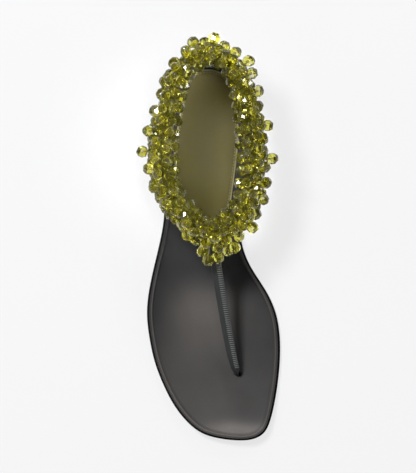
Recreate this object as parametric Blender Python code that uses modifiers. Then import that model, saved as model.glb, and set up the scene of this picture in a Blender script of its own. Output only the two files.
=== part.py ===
# Beaded flat thong sandal for the right foot.
# Sole, footbed, heel sock, strap upper and the rope of beads round the ankle band.
#
# Shoe directions: along runs from the heel end to the toe, across is positive on the
# medial (big toe) side, and height is measured from the floor. Tables are in millimetres.
# In the scene the toe points to -Y and the medial side to +X.

import math
from collections import namedtuple

import bmesh
import bpy
import numpy as np
from mathutils import Matrix, Vector

MM = 0.001
GAP = 0.3                    # clearance between pieces that meet
WELD = 0.01                  # points nearer than this are one
SHARP_ANGLE = 40.0           # edges turned more than this, in degrees, are shaded sharp

# Sole
SOLE_LENGTH = 250.0
FOOTBED_INSET = 0.9          # ledge of outsole that shows round the footbed
FOOTBED_THICKNESS = 4.4      # at the rim
RIM_DROP = 1.3               # how far the middle of the footbed lies below its rim
DISH_REACH = 0.62            # share of the way to the spine where the dished top is level
HEEL_CUP = 1.2               # extra rim height round the heel
HEEL_CUP_REACH = 70.0
ARCH_RISE = 3.6              # extra rim height on the medial waist
ARCH_ALONG = 104.0
ARCH_REACH = 46.0
SOLE_EDGE = 1.0              # rounding of the outsole's lower edge
SEAT_EDGE = 0.7              # rounding of its upper edge
FOOTBED_EDGE = 0.5           # rounding of the footbed's lower edge
UNDER_INSET = 14.0           # inset of the middle ring on flat faces
OUTLINE_STEPS = 1200         # points of the fine curve that outlines are read from

# Heel sock
SOCK_THICKNESS = 1.2
SOCK_BACK = (4.4, 0.0)       # along and across
SOCK_FRONT = (110.0, -2.2)
SOCK_EDGE = 0.4              # rounding of its upper edge: down
SOCK_BEVEL = 0.03            # and in, as a share of the way to the spine
SKY_HEIGHT = 60.0            # a height above the footbed

# Straps
STRAP_THICKNESS = 2.0
BAND_HEIGHT = 16.0
THONG_THICKNESS = 2.2
THONG_RIDGE = 0.15           # place of the folded ridge, as a share of the width
THONG_SHOULDER = 0.45        # height of its edges, as a share of the ridge's height
THONG_SECTIONS = 26
SLOT_DEPTH = 8.0             # how far the footbed's slot is cut below the strap's end
BACK_WIDTH_LOW = 23.0
BACK_WIDTH_HIGH = 15.0
BACK_CURVE_RADIUS = 30.0     # the back strap wraps the heel on this radius
BACK_SECTIONS = 12
BACK_COLUMNS = 9
RECESS_DEPTH = 4.0           # how far the footbed's recess is cut below the back strap
BAND_SECTIONS = 36

# Beads
BEAD_DIAMETER = 7.0
BEAD_SEED = 7
STEM_WIDTH = 1.6
STEM_OUT = 5.0               # foot of a stem: out from the band
STEM_LEVEL = 0.6             # and its height, as a share of its bead's
ROPE_RADIUS = 38.0           # mean radius of the band's curve, for the length of a bead row
FINE_FRAMES = 720            # places round the band that beads can sit at

# Outline of the sole at each section
SoleSection = namedtuple("SoleSection", "along lateral medial")
SOLE_SECTIONS = [
    SoleSection(4, -13.2, 13.2),
    SoleSection(13, -22.7, 22.7),
    SoleSection(26, -29.0, 29.0),
    SoleSection(42, -31.4, 31.4),
    SoleSection(62, -31.1, 30.0),
    SoleSection(82, -29.9, 25.6),
    SoleSection(100, -29.2, 22.2),
    SoleSection(116, -31.5, 22.0),
    SoleSection(134, -35.7, 28.0),
    SoleSection(150, -39.1, 38.0),
    SoleSection(166, -40.6, 45.2),
    SoleSection(182, -39.0, 47.8),
    SoleSection(198, -35.5, 47.8),
    SoleSection(214, -29.4, 46.2),
    SoleSection(228, -21.8, 43.7),
    SoleSection(238, -13.6, 41.0),
    SoleSection(245, -4.4, 37.2),
    SoleSection(248.6, 7.0, 31.5),
]
HEEL_END = (0.0, 0.0)
TOE_TIP = (SOLE_LENGTH, 19.5)

# Outline of the heel sock at each section
SockSection = namedtuple("SockSection", "along lateral medial")
SOCK_SECTIONS = [
    SockSection(6.4, -8.0, 8.2),
    SockSection(13, -13.6, 14.8),
    SockSection(26, -17.2, 18.8),
    SockSection(42, -20.2, 20.0),
    SockSection(62, -22.6, 19.2),
    SockSection(82, -21.6, 16.6),
    SockSection(97, -18.9, 13.9),
    SockSection(106, -13.6, 9.4),
]

# Outlines, each with a spine that its heel and toe ends fan out from. Stations are the sections
# of the spine where the skin has a row of points.
Outline = namedtuple("Outline", "sections back front stations back_points front_points")
SOLE_OUTLINE = Outline(
    SOLE_SECTIONS, HEEL_END, TOE_TIP,
    (32, 40, 52, 61, 63, 72, 82, 93, 105, 116, 128, 136, 145, 157, 170, 185, 200, 212), 13, 21)
SOCK_OUTLINE = Outline(SOCK_SECTIONS, SOCK_BACK, SOCK_FRONT, (24, 36, 48, 60, 72, 82, 92), 9, 9)

# Rounded shoulder of the footbed's rim: in from its side, down from its top
RimRow = namedtuple("RimRow", "inset drop")
RIM_ROWS = [RimRow(0.0, 1.9), RimRow(0.5, 0.7), RimRow(1.6, 0.1)]
DISH_INSETS = (4.8, 9.0, 15.0, 21.5)    # rings of the dished top, in from the outline

# Heights of the sole: ground is its underside, seat the top of the outsole
SoleHeight = namedtuple("SoleHeight", "along ground seat")
SOLE_HEIGHTS = [
    SoleHeight(0, 0.0, 9.4),
    SoleHeight(40, 0.0, 9.2),
    SoleHeight(61, 0.0, 8.7),
    SoleHeight(63, 3.4, 8.6),
    SoleHeight(82, 4.2, 7.9),
    SoleHeight(105, 3.4, 6.6),
    SoleHeight(128, 1.2, 5.1),
    SoleHeight(145, 0.0, 4.4),
    SoleHeight(170, 0.0, 4.1),
    SoleHeight(200, 0.0, 4.2),
    SoleHeight(216, 0.8, 4.9),
    SoleHeight(234, 2.9, 7.0),
    SoleHeight(250, 5.6, 9.7),
]

# Ankle band: its mid-height line, from the back round the medial side
BandPoint = namedtuple("BandPoint", "along across height")
BAND_POINTS = [
    BandPoint(1.1, -0.2, 66.0),
    BandPoint(8.9, 14.1, 65.0),
    BandPoint(25.9, 20.5, 63.0),
    BandPoint(44.3, 22.6, 61.0),
    BandPoint(65.5, 24.1, 58.5),
    BandPoint(84.4, 23.2, 56.5),
    BandPoint(99.1, 17.0, 55.0),
    BandPoint(108.2, 2.5, 54.0),
    BandPoint(97.8, -12.5, 55.0),
    BandPoint(83.0, -22.2, 56.5),
    BandPoint(65.5, -24.9, 58.5),
    BandPoint(48.1, -23.9, 60.5),
    BandPoint(30.5, -20.9, 62.5),
    BandPoint(11.8, -15.5, 64.5),
]

# Toe strap, from its anchor in the footbed slot to the front of the band
ThongPoint = namedtuple("ThongPoint", "along across height")
THONG_POINTS = [
    ThongPoint(205.2, 20.2, 5.2),
    ThongPoint(204.6, 19.9, 9.6),
    ThongPoint(201.2, 18.6, 13.9),
    ThongPoint(190.0, 15.0, 21.4),
    ThongPoint(165.0, 9.9, 32.6),
    ThongPoint(134.0, 5.2, 45.4),
    ThongPoint(108.4, 2.5, 54.0),
]

# Its width, by the share of the way up from the footbed
ThongWidth = namedtuple("ThongWidth", "share width")
THONG_WIDTHS = [ThongWidth(0.0, 2.4), ThongWidth(0.045, 4.2), ThongWidth(0.13, 5.2), ThongWidth(0.45, 6.6)]

# Back strap, from the heel recess up to the band
BackPoint = namedtuple("BackPoint", "along height")
BACK_POINTS = [
    BackPoint(2.2, 9.9),
    BackPoint(1.2, 17.0),
    BackPoint(-0.6, 30.0),
    BackPoint(-0.8, 44.0),
    BackPoint(0.4, 57.0),
    BackPoint(1.1, 66.0),
]

# Thickness of the bead rope along the shoe, as a share of its usual thickness
RopeSpread = namedtuple("RopeSpread", "along share")
ROPE_SPREAD = [
    RopeSpread(0, 0.72),
    RopeSpread(20, 0.86),
    RopeSpread(50, 1.18),
    RopeSpread(90, 1.14),
    RopeSpread(108, 0.95),
]
# Rows of beads round the band: out from the band, up from its middle, and their spacing
BeadRow = namedtuple("BeadRow", "out up pitch shift wander")
BEAD_ROWS = [
    BeadRow(-1.4, 11.6, 11.6, 0.0, 0.4),
    BeadRow(4.6, 12.6, 12.0, 0.5, 0.8),
    BeadRow(8.8, 7.4, 12.6, 0.1, 0.8),
    BeadRow(9.8, 0.0, 13.2, 0.6, 0.8),
    BeadRow(7.8, -7.4, 14.6, 0.2, 0.8),
]
# Beads that stand out from the rope on short stems, from the back round the medial side,
# with their height above the band's middle
EdgeBead = namedtuple("EdgeBead", "along across up")
EDGE_BEADS = [
    EdgeBead(-11, 4, 6),
    EdgeBead(-6, 10.5, 3),
    EdgeBead(-2, 17.5, 7),
    EdgeBead(3, 26, 3),
    EdgeBead(11, 28, 6),
    EdgeBead(22, 32, 3),
    EdgeBead(32, 31.5, 7),
    EdgeBead(44, 38, 3),
    EdgeBead(52, 34.5, 7),
    EdgeBead(65, 41, 4),
    EdgeBead(70, 36.5, -4),
    EdgeBead(80.5, 37, 6),
    EdgeBead(87.5, 34, 0),
    EdgeBead(93.5, 29, 8),
    EdgeBead(100.5, 30.5, 3),
    EdgeBead(109, 28.5, 5),
    EdgeBead(122, 17, 5),
    EdgeBead(128, 6.5, 2.5),
    EdgeBead(130, 0, 1.5),
    EdgeBead(124.5, -3.5, 3),
    EdgeBead(114, -13, 4),
    EdgeBead(106.5, -16.5, 8),
    EdgeBead(100.5, -24, 3),
    EdgeBead(88, -30.5, 6),
    EdgeBead(81, -34, 2),
    EdgeBead(71.5, -38, 6),
    EdgeBead(60.5, -42, 3),
    EdgeBead(47.5, -38, 5),
    EdgeBead(34.5, -34, 2),
    EdgeBead(24, -29.5, 6),
    EdgeBead(13.5, -25.5, 3),
    EdgeBead(4.5, -21.5, 7),
    EdgeBead(-3, -14, 3),
    EdgeBead(-8.5, -9.5, 6),
    EdgeBead(-8.5, -2.5, 2),
]
# Section of the beads' sewn core: out from the band, up from its middle
CorePoint = namedtuple("CorePoint", "out up")
CORE_SECTION = [
    CorePoint(1.8, -10.0),
    CorePoint(1.8, 8.8),
    CorePoint(-2.6, 8.8),
    CorePoint(-2.2, 11.0),
    CorePoint(4.4, 11.6),
    CorePoint(8.0, 6.0),
    CorePoint(8.0, -5.6),
    CorePoint(5.4, -10.6),
]

FinishSpec = namedtuple("FinishSpec", "colour roughness metallic")
FINISHES = {
    "black_rubber": FinishSpec((0.010, 0.010, 0.011), 0.55, 0.0),
    "black_leather": FinishSpec((0.040, 0.038, 0.037), 0.45, 0.0),
    "olive_leather": FinishSpec((0.125, 0.108, 0.044), 0.50, 0.0),
    "green_crystal": FinishSpec((0.300, 0.310, 0.030), 0.08, 0.0),
}


# Curves

def periodic_spline(points, count):
    """Points on a smooth closed curve through the given points, evenly spaced in chord length."""
    points = np.asarray(points, float)
    n = len(points)
    step = np.linalg.norm(np.roll(points, -1, axis=0) - points, axis=1)
    before = np.roll(step, 1)
    system = np.zeros((n, n))
    rise = (np.roll(points, -1, axis=0) - points) / step[:, None]
    for i in range(n):
        system[i, i] += 2 * (before[i] + step[i])
        system[i, (i - 1) % n] += before[i]
        system[i, (i + 1) % n] += step[i]
    bend = np.linalg.solve(system, 6 * (rise - np.roll(rise, 1, axis=0)))
    knots = np.concatenate([[0.0], np.cumsum(step)])
    where = np.linspace(0, knots[-1], count, endpoint=False)
    index = np.clip(np.searchsorted(knots, where, side="right") - 1, 0, n - 1)
    low = (where - knots[index])[:, None]
    high = step[index][:, None] - low
    width = step[index][:, None]
    start, end = points[index], points[(index + 1) % n]
    start_bend, end_bend = bend[index], bend[(index + 1) % n]
    return (
        (start_bend * high**3 + end_bend * low**3) / (6 * width)
        + (start / width - start_bend * width / 6) * high
        + (end / width - end_bend * width / 6) * low
    )


def open_spline(points, count):
    """Points on a smooth open curve through the given points."""
    points = np.asarray(points, float)
    ends = np.vstack([2 * points[0] - points[1], points, 2 * points[-1] - points[-2]])
    found = []
    for t in np.linspace(0, len(points) - 1, count):
        i = min(int(t), len(points) - 2)
        u = t - i
        a, b, c, d = ends[i:i + 4]
        found.append(
            0.5 * (2 * b + (c - a) * u + (2 * a - 5 * b + 4 * c - d) * u**2
                   + (3 * b - a - 3 * c + d) * u**3)
        )
    return np.array(found)


def place(along, across, height):
    """A point in shoe directions, as a point of the scene."""
    return Vector((across, SOLE_LENGTH / 2 - along, height)) * MM


def column(table, name):
    return np.array([getattr(row, name) for row in table], float)


def height_of(name, along):
    return float(np.interp(along, column(SOLE_HEIGHTS, "along"), column(SOLE_HEIGHTS, name)))


# Meshes

def finish(name):
    found = bpy.data.materials.get(name)
    if found:
        return found
    spec = FINISHES[name]
    made = bpy.data.materials.new(name)
    made.use_nodes = True
    shader = made.node_tree.nodes["Principled BSDF"]
    shader.inputs["Base Color"].default_value = (*spec.colour, 1.0)
    shader.inputs["Roughness"].default_value = spec.roughness
    shader.inputs["Metallic"].default_value = spec.metallic
    return made


def add_object(name, bm, material, collection):
    bmesh.ops.recalc_face_normals(bm, faces=bm.faces)
    mesh = bpy.data.meshes.new(name)
    bm.to_mesh(mesh)
    bm.free()
    mesh.shade_smooth()
    mesh.set_sharp_from_angle(angle=math.radians(SHARP_ANGLE))
    mesh.materials.append(finish(material))
    made = bpy.data.objects.new(name, mesh)
    collection.objects.link(made)
    return made


def loft(rings, closed_path=False, closed_ring=True, caps=True):
    """A skin through rings of points, each ring with the same number of points."""
    bm = bmesh.new()
    verts = [[bm.verts.new(p) for p in ring] for ring in rings]
    pairs = list(zip(verts, verts[1:]))
    if closed_path:
        pairs.append((verts[-1], verts[0]))
    for first, second in pairs:
        sides = len(first) if closed_ring else len(first) - 1
        for j in range(sides):
            k = (j + 1) % len(first)
            bm.faces.new((first[j], first[k], second[k], second[j]))
    if caps and not closed_path:
        bm.faces.new(verts[0])
        bm.faces.new(verts[-1])
    return bm


def as_helper(obj):
    obj.hide_render = True
    obj.display_type = "WIRE"
    return obj


def boolean(obj, other, operation):
    modifier = obj.modifiers.new(f"{operation.lower()}_{other.name}", "BOOLEAN")
    modifier.operation = operation
    modifier.solver = "EXACT"
    modifier.object = other
    return modifier


# Sole

OutlinePoint = namedtuple("OutlinePoint", "along across spine_along spine_across")


def outline_points(outline):
    """Points round an outline, each with the point of the spine it is joined to."""
    lateral = [(row.along, row.lateral) for row in outline.sections]
    medial = [(row.along, row.medial) for row in reversed(outline.sections)]
    dense = periodic_spline([outline.back, *lateral, outline.front, *medial], OUTLINE_STEPS)
    tip = int(np.argmax(dense[:, 0]))
    lateral_side = dense[:tip + 1]
    medial_side = np.vstack([dense[tip:], dense[:1]])[::-1]
    first, last = outline.stations[0], outline.stations[-1]

    def edge(side, along):
        return float(np.interp(along, side[:, 0], side[:, 1]))

    def middle(along):
        return (edge(lateral_side, along) + edge(medial_side, along)) / 2

    def side_points(side, along):
        return [OutlinePoint(s, edge(side, s), s, middle(s)) for s in along]

    def end_points(run, along, count):
        steps = np.linalg.norm(np.diff(run, axis=0), axis=1)
        lengths = np.concatenate([[0], np.cumsum(steps)])
        where = np.linspace(0, lengths[-1], count + 2)[1:-1]
        arc = np.column_stack([np.interp(where, lengths, run[:, i]) for i in (0, 1)])
        return [OutlinePoint(a, b, along, middle(along)) for a, b in arc]

    front = np.vstack([lateral_side[lateral_side[:, 0] > last],
                       medial_side[medial_side[:, 0] > last][::-1]])
    back = np.vstack([medial_side[medial_side[:, 0] < first][::-1],
                      lateral_side[lateral_side[:, 0] < first]])
    return [
        *side_points(lateral_side, outline.stations),
        *end_points(front, last, outline.front_points),
        *side_points(medial_side, reversed(outline.stations)),
        *end_points(back, first, outline.back_points),
    ]


def inset_point(point, inset):
    """The point this far in from the outline, towards the spine, and its share of the way."""
    reach = math.hypot(point.spine_along - point.along, point.spine_across - point.across)
    share = min(1.0, inset / reach)
    return (point.along + (point.spine_along - point.along) * share,
            point.across + (point.spine_across - point.across) * share, share)


def sole_ring(outline, inset, height):
    """A ring this far in from the outline. height(along, share, medial) gives its height."""
    ring = []
    for point in outline:
        along, across, share = inset_point(point, inset)
        medial = 1.0 if point.across > point.spine_across else 0.0
        ring.append(place(along, across, height(along, share, medial)))
    return ring


def closed_skin(rings):
    """A skin through rings whose first and last lie on the spine, where it closes."""
    bm = loft(rings, caps=False)
    bmesh.ops.remove_doubles(bm, verts=bm.verts, dist=WELD * MM)
    return bm


SPINE = 1000.0               # an inset that always reaches the spine


def make_outsole(collection):
    outline = outline_points(SOLE_OUTLINE)

    def ground(along, share, medial):
        return height_of("ground", along)

    def seat(along, share, medial):
        return height_of("seat", along)

    def above_ground(along, share, medial):
        return ground(along, share, medial) + SOLE_EDGE

    def below_seat(along, share, medial):
        return seat(along, share, medial) - SEAT_EDGE

    rings = [
        sole_ring(outline, SPINE, ground),
        sole_ring(outline, UNDER_INSET, ground),
        sole_ring(outline, SOLE_EDGE, ground),
        sole_ring(outline, 0.0, above_ground),
        sole_ring(outline, 0.0, below_seat),
        sole_ring(outline, SEAT_EDGE, seat),
        sole_ring(outline, UNDER_INSET, seat),
        sole_ring(outline, SPINE, seat),
    ]
    return add_object("outsole", closed_skin(rings), "black_rubber", collection)


def footbed_rim(along, medial):
    """Height of the footbed's rim: higher round the heel and on the medial waist."""
    cup = HEEL_CUP * max(0.0, 1 - along / HEEL_CUP_REACH)
    near_arch = max(0.0, 1 - ((along - ARCH_ALONG) / ARCH_REACH)**2)
    return height_of("seat", along) + GAP + FOOTBED_THICKNESS + cup + medial * ARCH_RISE * near_arch**2


def footbed_top(along, share, medial):
    """Height of the dished top, which falls from the rim to the spine."""
    base = height_of("seat", along) + GAP + FOOTBED_THICKNESS - RIM_DROP
    fall = max(0.0, 1 - share / DISH_REACH)
    return base + (footbed_rim(along, medial) - base) * fall**2


def make_footbed(collection, cutters):
    outline = outline_points(SOLE_OUTLINE)

    def bottom(along, share, medial):
        return height_of("seat", along) + GAP

    def side_low(along, share, medial):
        return bottom(along, share, medial) + FOOTBED_EDGE

    def below_rim(drop):
        return lambda along, share, medial: footbed_rim(along, medial) - drop

    rings = [
        sole_ring(outline, SPINE, bottom),
        sole_ring(outline, UNDER_INSET, bottom),
        sole_ring(outline, FOOTBED_INSET + FOOTBED_EDGE, bottom),
        sole_ring(outline, FOOTBED_INSET, side_low),
        *(sole_ring(outline, FOOTBED_INSET + row.inset, below_rim(row.drop)) for row in RIM_ROWS),
        *(sole_ring(outline, inset, footbed_top) for inset in DISH_INSETS),
        sole_ring(outline, SPINE, footbed_top),
    ]
    made = add_object("footbed", closed_skin(rings), "black_leather", collection)
    for cutter in cutters:
        boolean(made, cutter, "DIFFERENCE")
    return made


def make_heel_sock(footbed, collection):
    """A thin leather sock laid on the footbed, its heights read from the footbed's own top."""
    outline = outline_points(SOCK_OUTLINE)
    surface = footbed.evaluated_get(bpy.context.evaluated_depsgraph_get())

    def top_of_footbed(along, across):
        above = place(along, across, SKY_HEIGHT)
        _, where, _, _ = surface.ray_cast(above, Vector((0, 0, -1)))
        return where.z / MM

    def ring(share, lift):
        found = []
        for point in outline:
            along = point.along + (point.spine_along - point.along) * share
            across = point.across + (point.spine_across - point.across) * share
            found.append(place(along, across, top_of_footbed(along, across) + GAP + lift))
        return found

    rings = [
        ring(1.0, 0.0),
        ring(0.5, 0.0),
        ring(0.0, 0.0),
        ring(0.0, SOCK_THICKNESS - SOCK_EDGE),
        ring(SOCK_BEVEL, SOCK_THICKNESS),
        ring(0.5, SOCK_THICKNESS),
        ring(1.0, SOCK_THICKNESS),
    ]
    return add_object("heel_sock", closed_skin(rings), "olive_leather", collection)


# Straps

def band_frames(count):
    """Points of the band's middle line with the outward and upward directions there."""
    path = periodic_spline([tuple(p) for p in BAND_POINTS], count)
    ahead = np.roll(path, -1, axis=0) - np.roll(path, 1, axis=0)
    frames = []
    for (along, across, height), (d_along, d_across, _) in zip(path, ahead):
        length = math.hypot(d_along, d_across)
        frames.append((along, across, height, -d_across / length, d_along / length))
    return frames


def band_point(frame, out, up):
    along, across, height, out_along, out_across = frame
    return along + out_along * out, across + out_across * out, height + up


def make_band(name, clearance, collection):
    """The ankle band as an open ribbon with a wall of its real thickness."""
    half = BAND_HEIGHT / 2 + clearance
    levels = (-half, 0.0, half)
    frames = band_frames(BAND_SECTIONS)
    rings = [[place(*band_point(f, 0, up)) for up in levels] for f in frames]
    made = add_object(name, loft(rings, closed_path=True, closed_ring=False), "black_leather", collection)
    wall = made.modifiers.new("wall", "SOLIDIFY")
    wall.thickness = (STRAP_THICKNESS + 2 * clearance) * MM
    wall.offset = 0
    return made


def make_thong(name, clearance, collection):
    """The toe strap: a folded strip with a ridge, narrower where it enters the footbed."""
    path = [place(*point) for point in open_spline([tuple(p) for p in THONG_POINTS], THONG_SECTIONS)]
    flat = path[0] - path[-1]
    side = Vector((-flat.y, flat.x, 0)).normalized()
    thick = THONG_THICKNESS / 2 + clearance
    shoulder = thick * THONG_SHOULDER
    rings = []
    for i, centre in enumerate(path):
        back = path[min(i + 1, len(path) - 1)] - path[max(i - 1, 0)]
        over = side.cross(back).normalized()
        half = np.interp(i / (len(path) - 1), *zip(*THONG_WIDTHS)) / 2 + clearance
        section = [(-half, -thick), (half, -thick), (half, shoulder),
                   (half * THONG_RIDGE * 2, thick), (-half, shoulder)]
        rings.append([centre + side * (w * MM) + over * (t * MM) for w, t in section])
    if clearance:
        rings.insert(0, [p + Vector((0, 0, -SLOT_DEPTH * MM)) for p in rings[0]])
    return add_object(name, loft(rings), "black_leather", collection)


def make_back_strap(name, clearance, collection):
    """The back strap: a ribbon that wraps the heel, from the sole up to the band."""
    path = open_spline([tuple(p) for p in BACK_POINTS], BACK_SECTIONS)
    shares = np.linspace(-1, 1, BACK_COLUMNS)
    rings = []
    for along, height in path:
        rise = (height - path[0][1]) / (path[-1][1] - path[0][1])
        half = (BACK_WIDTH_LOW + (BACK_WIDTH_HIGH - BACK_WIDTH_LOW) * rise) / 2 + clearance
        ring = []
        for share in shares:
            across = half * share
            curve = BACK_CURVE_RADIUS - math.sqrt(BACK_CURVE_RADIUS**2 - across**2)
            ring.append(place(along + curve, across, height))
        rings.append(ring)
    if clearance:
        rings.insert(0, [p + Vector((0, 0, -RECESS_DEPTH * MM)) for p in rings[0]])
    made = add_object(name, loft(rings, closed_ring=False, caps=False), "black_leather", collection)
    wall = made.modifiers.new("wall", "SOLIDIFY")
    wall.thickness = (STRAP_THICKNESS + 2 * clearance) * MM
    wall.offset = 0
    return made


def make_upper(collection, helpers):
    """Band, toe strap and back strap joined into one solid."""
    upper = make_band("upper", 0.0, collection)
    for make, name in ((make_thong, "thong_strap"), (make_back_strap, "back_strap")):
        boolean(upper, as_helper(make(name, 0.0, helpers)), "UNION")
    return upper


# Beads

def spread_at(along):
    """The bead rope's thickness here, as a share of its usual thickness."""
    return float(np.interp(along, column(ROPE_SPREAD, "along"), column(ROPE_SPREAD, "share")))


def bead_places():
    """Centres of the beads in shoe directions, each with the foot of its stem or None."""
    chance = np.random.default_rng(BEAD_SEED)
    frames = band_frames(FINE_FRAMES)
    steps = [math.dist(a[:3], b[:3]) for a, b in zip(frames, frames[1:] + frames[:1])]
    for row in BEAD_ROWS:
        stretch = 1 + row.out / ROPE_RADIUS
        lengths = np.concatenate([[0.0], np.cumsum(steps) * stretch])
        count = int(round(lengths[-1] / row.pitch))
        for k in range(count):
            slip, out_slip, up_slip = chance.uniform(-1, 1, 3) * row.wander
            where = ((k + row.shift) * lengths[-1] / count + slip) % lengths[-1]
            frame = frames[int(np.searchsorted(lengths, where, side="right")) - 1]
            spread = spread_at(frame[0]) if row.out > 0 else 1.0
            yield band_point(frame, (row.out + out_slip / 2) * spread, row.up + up_slip), None
    for bead in EDGE_BEADS:
        frame = min(frames, key=lambda f: math.hypot(f[0] - bead.along, f[1] - bead.across))
        foot = band_point(frame, STEM_OUT * spread_at(frame[0]), bead.up * STEM_LEVEL)
        yield (bead.along, bead.across, frame[2] + bead.up), foot


def add_stem(bm, start, end):
    """A short square stem of thread from the core out to a bead."""
    start, end = Vector(start), Vector(end)
    direction = end - start
    turn = direction.to_track_quat("Z", "Y").to_matrix().to_4x4()
    centre = Matrix.Translation((start + end) / 2)
    bmesh.ops.create_cone(bm, cap_ends=True, segments=4, radius1=STEM_WIDTH * MM, radius2=STEM_WIDTH * MM,
                          depth=direction.length, matrix=centre @ turn)


def make_bead_collar(collection, helpers, clearances):
    """The sewn core with its beads fused on, cut clear of the straps."""
    frames = band_frames(BAND_SECTIONS)
    rings = []
    for frame in frames:
        spread = spread_at(frame[0])
        rings.append([place(*band_point(frame, p.out * spread if p.out > STRAP_THICKNESS else p.out, p.up))
                      for p in CORE_SECTION])
    core = add_object("bead_collar", loft(rings, closed_path=True), "green_crystal", collection)
    bm = bmesh.new()
    chance = np.random.default_rng(BEAD_SEED)
    for centre, foot in bead_places():
        turn = Matrix.Rotation(chance.uniform(0, math.pi), 4, Vector(chance.normal(size=3)))
        middle = place(*centre)
        bmesh.ops.create_icosphere(bm, subdivisions=1, radius=BEAD_DIAMETER / 2 * MM,
                                   matrix=Matrix.Translation(middle) @ turn)
        if foot:
            add_stem(bm, place(*foot), middle)
    beads = as_helper(add_object("beads", bm, "green_crystal", helpers))
    boolean(core, beads, "UNION").use_self = True
    for cutter in clearances:
        boolean(core, cutter, "DIFFERENCE")
    return core


# Assembly

def clear_scene():
    for obj in list(bpy.data.objects):
        bpy.data.objects.remove(obj)


def new_collection(name):
    made = bpy.data.collections.new(name)
    bpy.context.scene.collection.children.link(made)
    return made


def stand_at_origin(parts, helpers):
    """Parents every piece to an empty, which puts the middle of the sandal's box over the origin."""
    bpy.context.view_layer.update()
    graph = bpy.context.evaluated_depsgraph_get()
    corners = []
    for obj in parts.objects:
        evaluated = obj.evaluated_get(graph)
        corners += [evaluated.matrix_world @ Vector(c) for c in evaluated.bound_box]
    box = np.array(corners)
    middle = (box.min(axis=0) + box.max(axis=0)) / 2
    root = bpy.data.objects.new("sandal", None)
    root.location = (-middle[0], -middle[1], -box.min(axis=0)[2])
    parts.objects.link(root)
    for obj in [*parts.objects, *helpers.objects]:
        if obj is not root:
            obj.parent = root


def main():
    clear_scene()
    parts = new_collection("beaded_flat_sandal")
    helpers = new_collection("cutters")
    clear_thong = as_helper(make_thong("clear_thong", GAP, helpers))
    clear_back = as_helper(make_back_strap("clear_back_strap", GAP, helpers))
    make_outsole(parts)
    footbed = make_footbed(parts, [clear_thong, clear_back])
    bpy.context.view_layer.update()
    make_heel_sock(footbed, parts)
    make_upper(parts, helpers)
    make_bead_collar(parts, helpers, [clear_thong, clear_back])
    stand_at_origin(parts, helpers)


main()
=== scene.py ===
# Beaded flat sandal for the right foot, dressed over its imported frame.
# Sizes are millimetres in the shoe's own directions: along from the heel's end to the toe,
# across from the heel's middle line to the big toe side, height up from the floor.
import math

import bmesh
import bpy
import numpy as np
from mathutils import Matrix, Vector, noise


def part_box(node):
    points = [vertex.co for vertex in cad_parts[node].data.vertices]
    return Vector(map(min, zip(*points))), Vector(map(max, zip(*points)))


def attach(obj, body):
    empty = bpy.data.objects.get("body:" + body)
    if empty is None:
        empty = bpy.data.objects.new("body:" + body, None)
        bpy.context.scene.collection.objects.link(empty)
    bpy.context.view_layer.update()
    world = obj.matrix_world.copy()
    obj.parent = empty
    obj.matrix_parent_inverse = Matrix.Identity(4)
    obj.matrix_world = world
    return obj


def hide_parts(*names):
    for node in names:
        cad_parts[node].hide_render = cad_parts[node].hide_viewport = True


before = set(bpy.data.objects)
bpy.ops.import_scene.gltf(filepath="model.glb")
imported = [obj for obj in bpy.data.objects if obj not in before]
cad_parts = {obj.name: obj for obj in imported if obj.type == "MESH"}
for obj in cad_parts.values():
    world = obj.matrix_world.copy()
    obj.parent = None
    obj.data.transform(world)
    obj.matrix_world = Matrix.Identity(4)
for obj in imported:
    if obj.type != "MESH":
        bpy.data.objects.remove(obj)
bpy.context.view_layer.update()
mm = 0.001
mergeWithin = 0.004  # points closer than this are one
allTheWay = 1000  # an inset that draws a ring in to the spine
dropFrom = 60.0  # height from which pieces are dropped on the footbed
outlineSteps = 2400  # points of the fine curve that an outline is read from
print("frame loaded:", ", ".join(sorted(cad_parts)))

sole = {
    "lateralReach": 40.42,  # widest point on the little toe side, from the heel's middle line
    "back": (0, 0),
    "front": (250, 19.5),
    "sections": [  # along, edge on the little toe side, edge on the big toe side
        (4, -13.2, 13.2), (13, -22.7, 22.7), (26, -29, 29), (42, -31.4, 31.4),
        (62, -31.1, 30), (82, -29.9, 25.6), (100, -29.2, 22.2), (116, -31.5, 22),
        (134, -35.7, 28), (150, -39.1, 38), (166, -40.6, 45.2), (182, -39, 47.8),
        (198, -35.5, 47.8), (214, -29.4, 46.2), (228, -21.8, 43.7), (238, -13.6, 41),
        (245, -4.4, 37.2), (248.6, 7, 31.5),
    ],
    "spine": (32, 212),  # the ends fan round the ends of this line
    "sidePoints": 110,
    "endPoints": (50, 64),  # heel, toe
    "ground": [  # along, height: the flat heel, its front edge, the waist, the tread, the toe
        (0, 0), (61, 0), (62.2, 3.4), (82, 4.2), (105, 3.4), (128, 1.2), (145, 0),
        (200, 0), (216, 0.8), (234, 2.9), (250, 5.6),
    ],
    "seat": [  # along, height of the face that carries the footbed
        (0, 9.4), (40, 9.2), (61, 8.7), (82, 7.9), (105, 6.6), (128, 5.1), (145, 4.4),
        (170, 4.1), (200, 4.2), (216, 4.9), (234, 7), (250, 9.7),
    ],
    "seatSteps": 500,
    "edgeRound": 1,
    "seatRound": 0.7,
    "underInsets": (allTheWay, 30, 22, 14, 8, 4, 2),
    "seatInsets": (1.6, 5, 14, allTheWay),
    "wallLevels": (0.45, 0.6),
    "roundSteps": 5,
}
soleLow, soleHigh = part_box("outsole")
heelEnd = soleHigh.y / mm
middleLine = soleLow.x / mm + sole["lateralReach"]


def place(along, across, height):
    return Vector((middleLine + across, heelEnd - along, height)) * mm


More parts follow.
